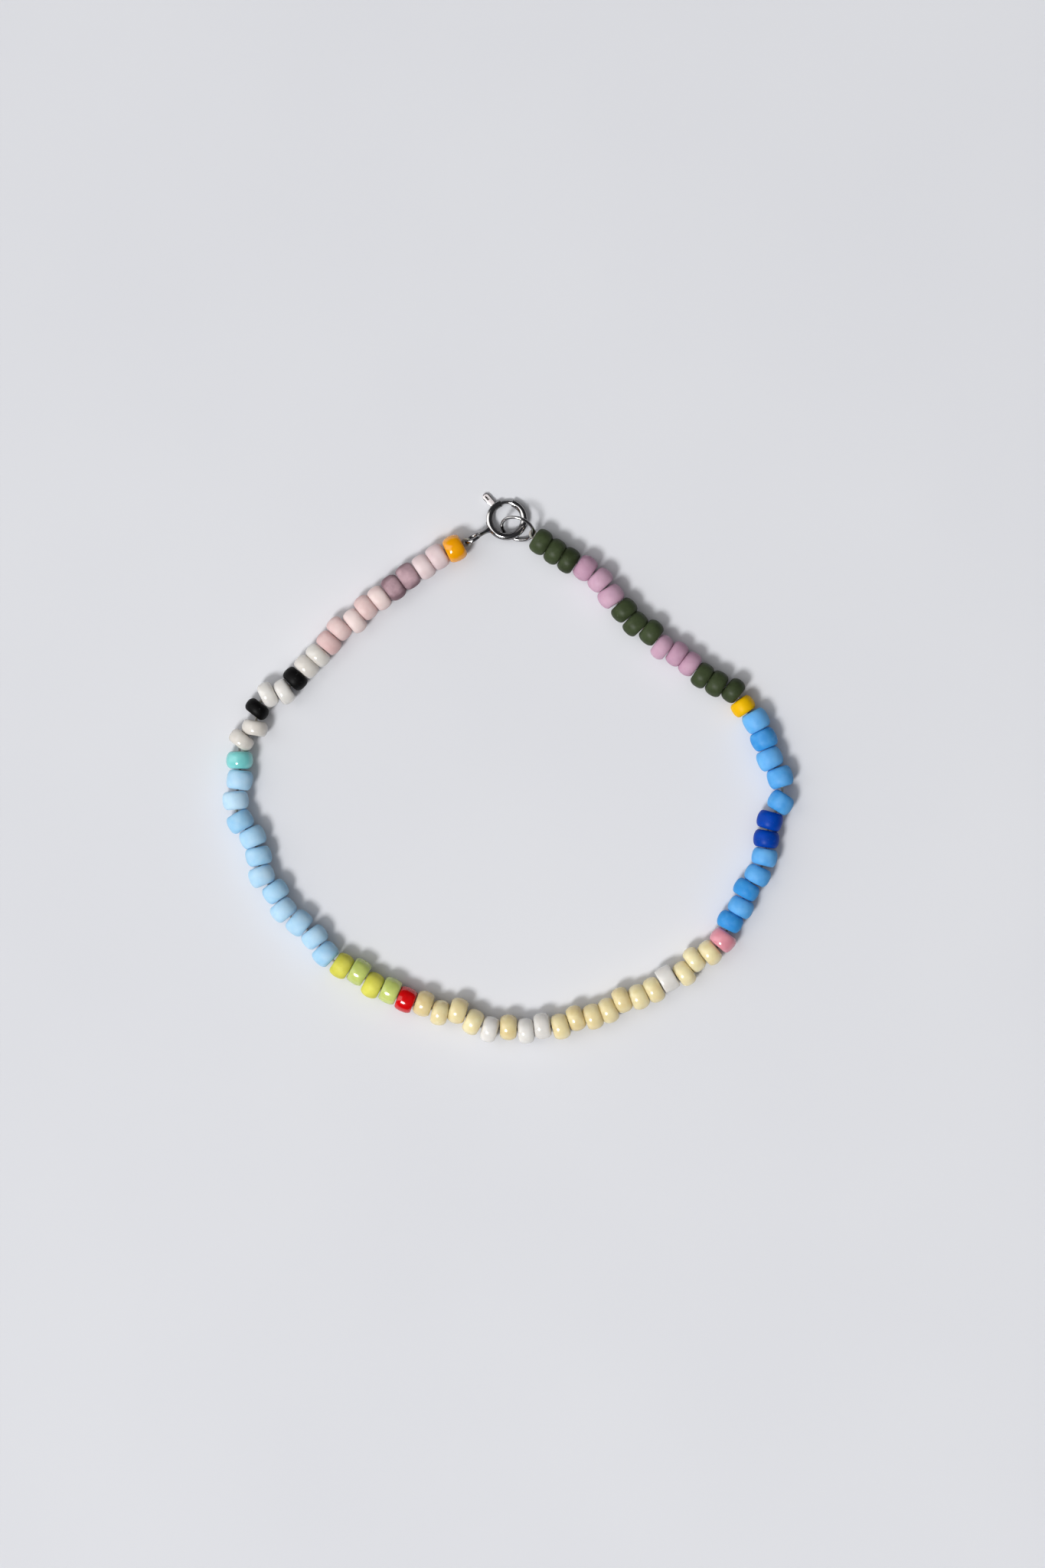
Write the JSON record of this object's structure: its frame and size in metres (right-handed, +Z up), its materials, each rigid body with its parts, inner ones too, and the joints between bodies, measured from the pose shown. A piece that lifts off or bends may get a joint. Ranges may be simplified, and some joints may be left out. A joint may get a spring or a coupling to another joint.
{
  "type": "single strand bead bracelet",
  "caption": "Bracelet of glass seed beads in runs of colour on one strand, lying as a loop, closed by a spring ring clasp and a jump ring.",
  "frame": {"origin": "on the table, under the middle of the bracelet's box", "axes": "+Z up from the table, +X across the loop's longer way, +Y towards the clasp"},
  "size_m": [0.0678, 0.0652, 0.0034],
  "materials": {
    "amber": "gloss",
    "pale_pink": "satin",
    "mauve": "satin",
    "pink": "satin",
    "ivory": "gloss",
    "black": "matte",
    "white": "gloss",
    "turquoise": "gloss",
    "pale_blue": "matte",
    "lime_yellow": "matte",
    "lime_green": "gloss",
    "red": "gloss",
    "cream": "gloss",
    "coral": "gloss",
    "blue": "satin",
    "royal": "satin",
    "yellow": "matte",
    "green": "matte",
    "lilac": "matte",
    "thread": "satin",
    "silver": "polished"
  },
  "bodies": {
    "bracelet": {"amber": "amber", "pale_pink": "pale_pink", "mauve": "mauve", "pink": "pink", "ivory_a": "ivory", "black_a": "black", "white_a": "white", "black_b": "black", "ivory_b": "ivory", "turquoise": "turquoise", "pale_blue": "pale_blue", "lime_yellow_a": "lime_yellow", "lime_green_a": "lime_green", "lime_yellow_b": "lime_yellow", "lime_green_b": "lime_green", "red": "red", "cream_a": "cream", "white_b": "white", "cream_b": "cream", "white_c": "white", "cream_c": "cream", "white_d": "white", "cream_d": "cream", "coral": "coral", "blue_a": "blue", "royal": "royal", "blue_b": "blue", "yellow": "yellow", "green_a": "green", "lilac_a": "lilac", "green_b": "green", "lilac_b": "lilac", "green_c": "green", "thread": "thread", "spring_ring": "silver", "jump_ring": "silver"},
    "trigger": {"trigger_gate": "silver"}
  },
  "joints": [
    {"name": "gate_turn", "type": "hinge", "parent": "bracelet", "child": "trigger", "pos_m": [-0.00022, 0.02947, 0.00077], "axis": [-0.0386, 0.1441, 0.9888], "range_deg": [0, 42], "stiffness_Nm_per_rad": 0.0000001, "springref_deg": -28.65}
  ]
}
